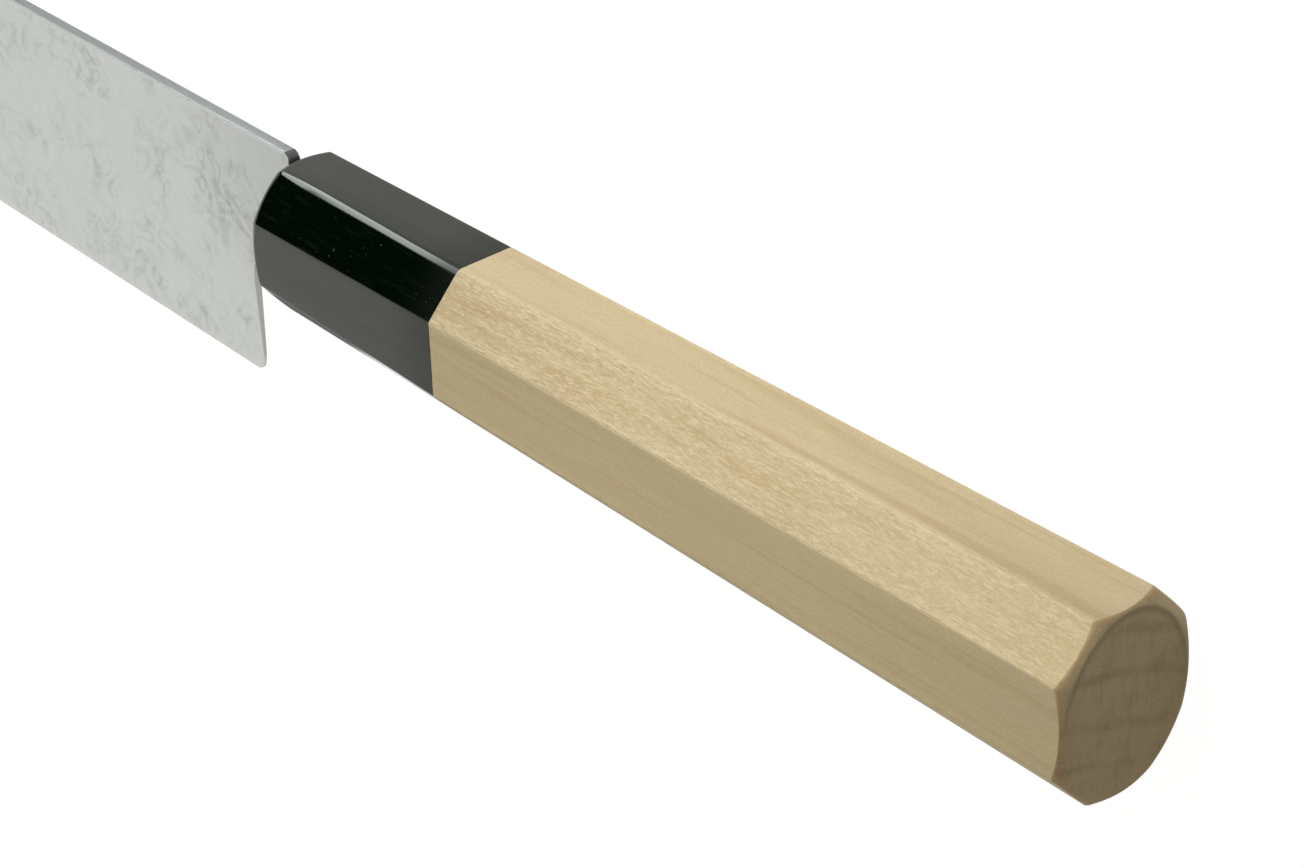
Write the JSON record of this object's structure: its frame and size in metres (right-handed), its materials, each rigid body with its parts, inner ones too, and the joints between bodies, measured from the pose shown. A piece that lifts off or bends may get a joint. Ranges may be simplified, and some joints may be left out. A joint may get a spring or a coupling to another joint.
{
  "type": "sujihiki knife",
  "caption": "Long slicing knife with a slim double-bevel blade, dark horn ferrule and tapered octagonal wooden handle, lying on its side.",
  "frame": {"origin": "centre of the knife's box on the plane it lies on", "axes": "+X runs along the handle to the butt, +Y across the blade to the spine, +Z out of the blade's left face"},
  "size_m": [0.394, 0.0382, 0.0201],
  "materials": {
    "blade_steel": "polished, with faint swirling layers and eased spine",
    "horn": "polished black buffalo horn",
    "handle_wood": "bare sanded magnolia, end grain at the butt",
    "dowel_wood": "plain sawn wood, hidden",
    "resin": "set resin, hidden"
  },
  "bodies": {
    "root": {"blade": "blade_steel", "ferrule": "horn", "handle_body": "handle_wood", "tang_dowel": "dowel_wood", "mouth_seal": "resin"}
  },
  "joints": []
}
